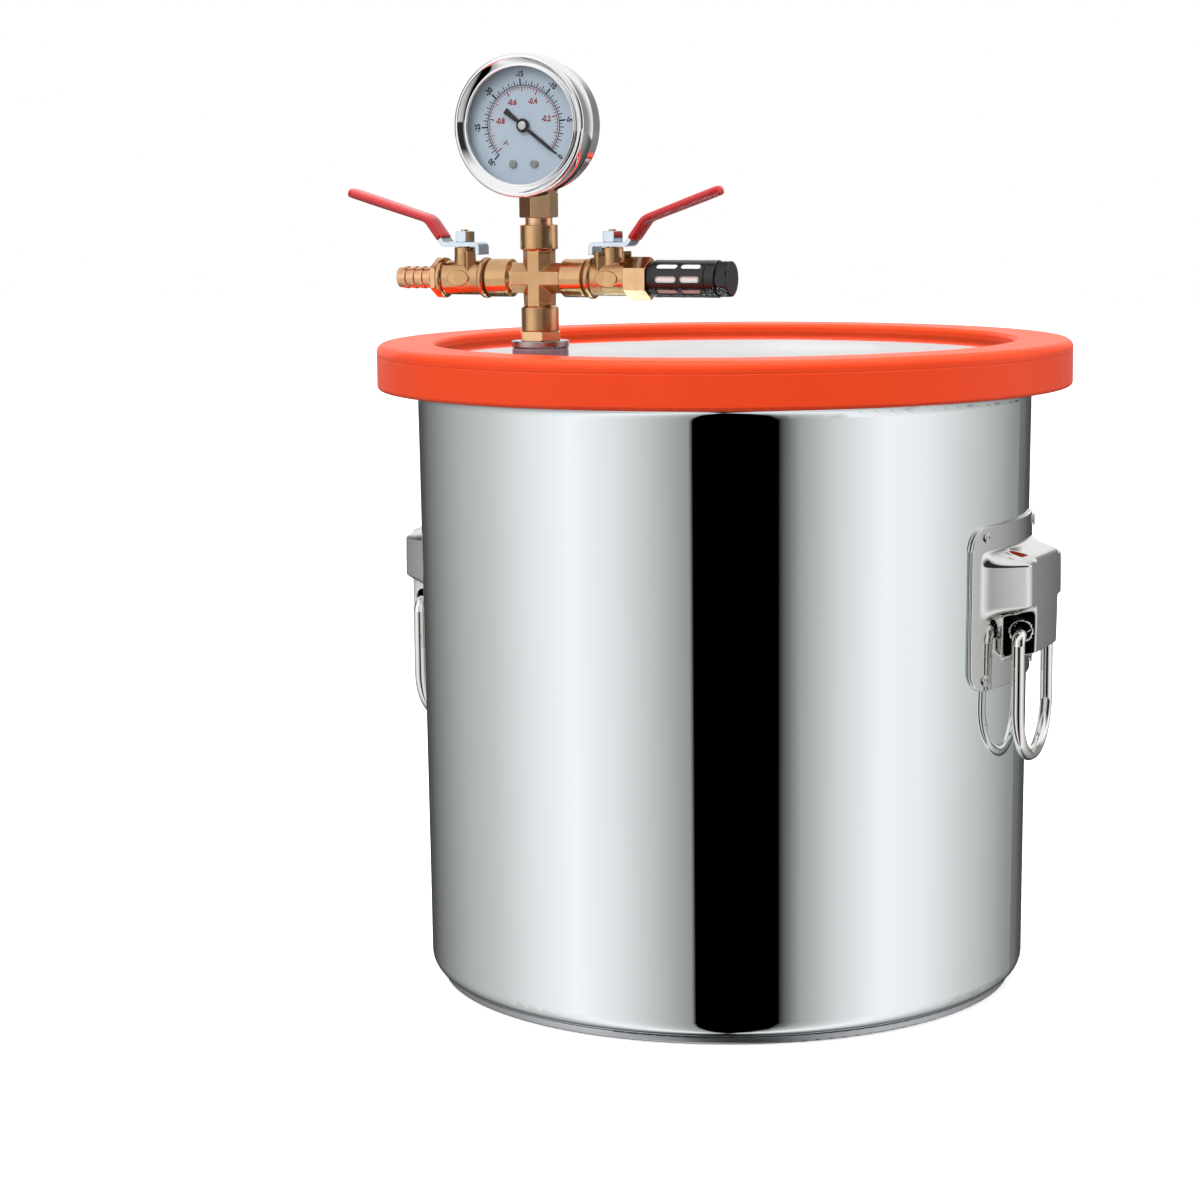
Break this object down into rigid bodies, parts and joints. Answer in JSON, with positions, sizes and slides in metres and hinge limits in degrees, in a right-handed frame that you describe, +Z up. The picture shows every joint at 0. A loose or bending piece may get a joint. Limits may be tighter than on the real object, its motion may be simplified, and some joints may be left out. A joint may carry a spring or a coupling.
{
  "type": "vacuum chamber",
  "caption": "Polished steel pot with two drop handles, a clear lid in an orange rubber ring, and a brass manifold with two ball valves, an inlet filter and a vacuum gauge.",
  "frame": {"origin": "centre of the flat underside of the base", "axes": "+Z up; the two handles lie on the X axis; the gauge reads from -Y and the hose barb points to -X"},
  "size_m": [0.338, 0.338, 0.4478],
  "materials": {
    "pot_steel": "mirror polished stainless steel",
    "base_steel": "satin stainless capsule base",
    "handle_steel": "polished stamped stainless steel",
    "ring_steel": "polished steel rod",
    "lid_clear": "clear cast acrylic",
    "ring_rubber": "moulded orange silicone",
    "seal_rubber": "moulded grey rubber",
    "washer_steel": "turned steel",
    "brass_cast": "sand cast brass",
    "brass_turned": "turned brass",
    "lever_steel": "zinc plated steel strip",
    "lever_vinyl": "dipped red vinyl",
    "ball_chrome": "plated brass ball",
    "seat_white": "white fluoropolymer",
    "filter_black": "moulded black nylon",
    "filter_felt": "white felt",
    "gauge_case_steel": "black painted steel",
    "bezel_chrome": "chrome plated bezel",
    "window_clear": "clear window",
    "dial_face": "pale printed dial",
    "pointer_black": "black painted pointer"
  },
  "bodies": {
    "chamber": {"pot": "pot_steel", "base_disc": "base_steel", "handle_plate_right": "handle_steel", "handle_plate_left": "handle_steel", "handle_rivets_right": "handle_steel", "handle_rivets_left": "handle_steel", "lid": "lid_clear", "lid_ring": "ring_rubber", "port_seal": "seal_rubber", "port_washer": "washer_steel", "port_nipple": "brass_turned", "port_lower_seal": "seal_rubber", "port_lower_washer": "washer_steel", "port_lock_nut": "brass_turned", "cross": "brass_cast", "left_valve_body": "brass_cast", "left_valve_seats": "seat_white", "left_valve_packing": "seat_white", "right_valve_body": "brass_cast", "right_valve_seats": "seat_white", "right_valve_packing": "seat_white", "hose_barb": "brass_turned", "hex_end": "brass_turned", "filter_cage": "filter_black", "filter_element": "filter_felt", "filter_cap": "filter_black", "gauge_socket": "brass_turned", "gauge_case": "gauge_case_steel", "gauge_bezel": "bezel_chrome", "gauge_window": "window_clear", "gauge_dial": "dial_face", "dial_screws": "washer_steel", "movement_frame": "brass_turned"},
    "right_handle": {"handle_ring_right": "ring_steel"},
    "left_handle": {"handle_ring_left": "ring_steel"},
    "left_valve_lever": {"left_lever": "lever_steel", "left_lever_sleeve": "lever_vinyl", "left_lever_nut": "lever_steel", "left_valve_stem": "brass_turned", "left_valve_ball": "ball_chrome"},
    "right_valve_lever": {"right_lever": "lever_steel", "right_lever_sleeve": "lever_vinyl", "right_lever_nut": "lever_steel", "right_valve_stem": "brass_turned", "right_valve_ball": "ball_chrome"},
    "gauge_pointer": {"pointer": "pointer_black", "pointer_cap": "bezel_chrome", "pointer_arbor": "washer_steel"}
  },
  "joints": [
    {"name": "right_handle_hinge", "type": "hinge", "parent": "chamber", "child": "right_handle", "pos_m": [0.157, 0, 0.179], "axis": [0, -1, 0], "range_deg": [0, 90]},
    {"name": "left_handle_hinge", "type": "hinge", "parent": "chamber", "child": "left_handle", "pos_m": [-0.157, 0, 0.179], "axis": [0, 1, 0], "range_deg": [0, 90]},
    {"name": "left_valve_turn", "type": "hinge", "parent": "chamber", "child": "left_valve_lever", "pos_m": [-0.086, -0.108, 0.3466], "axis": [0, 0, 1], "range_deg": [0, 90]},
    {"name": "right_valve_turn", "type": "hinge", "parent": "chamber", "child": "right_valve_lever", "pos_m": [-0.0112, -0.108, 0.3466], "axis": [0, 0, -1], "range_deg": [0, 90]},
    {"name": "gauge_pointer_turn", "type": "hinge", "parent": "chamber", "child": "gauge_pointer", "pos_m": [-0.048, -0.118, 0.4156], "axis": [0, -1, 0], "range_deg": [0, 264]}
  ]
}
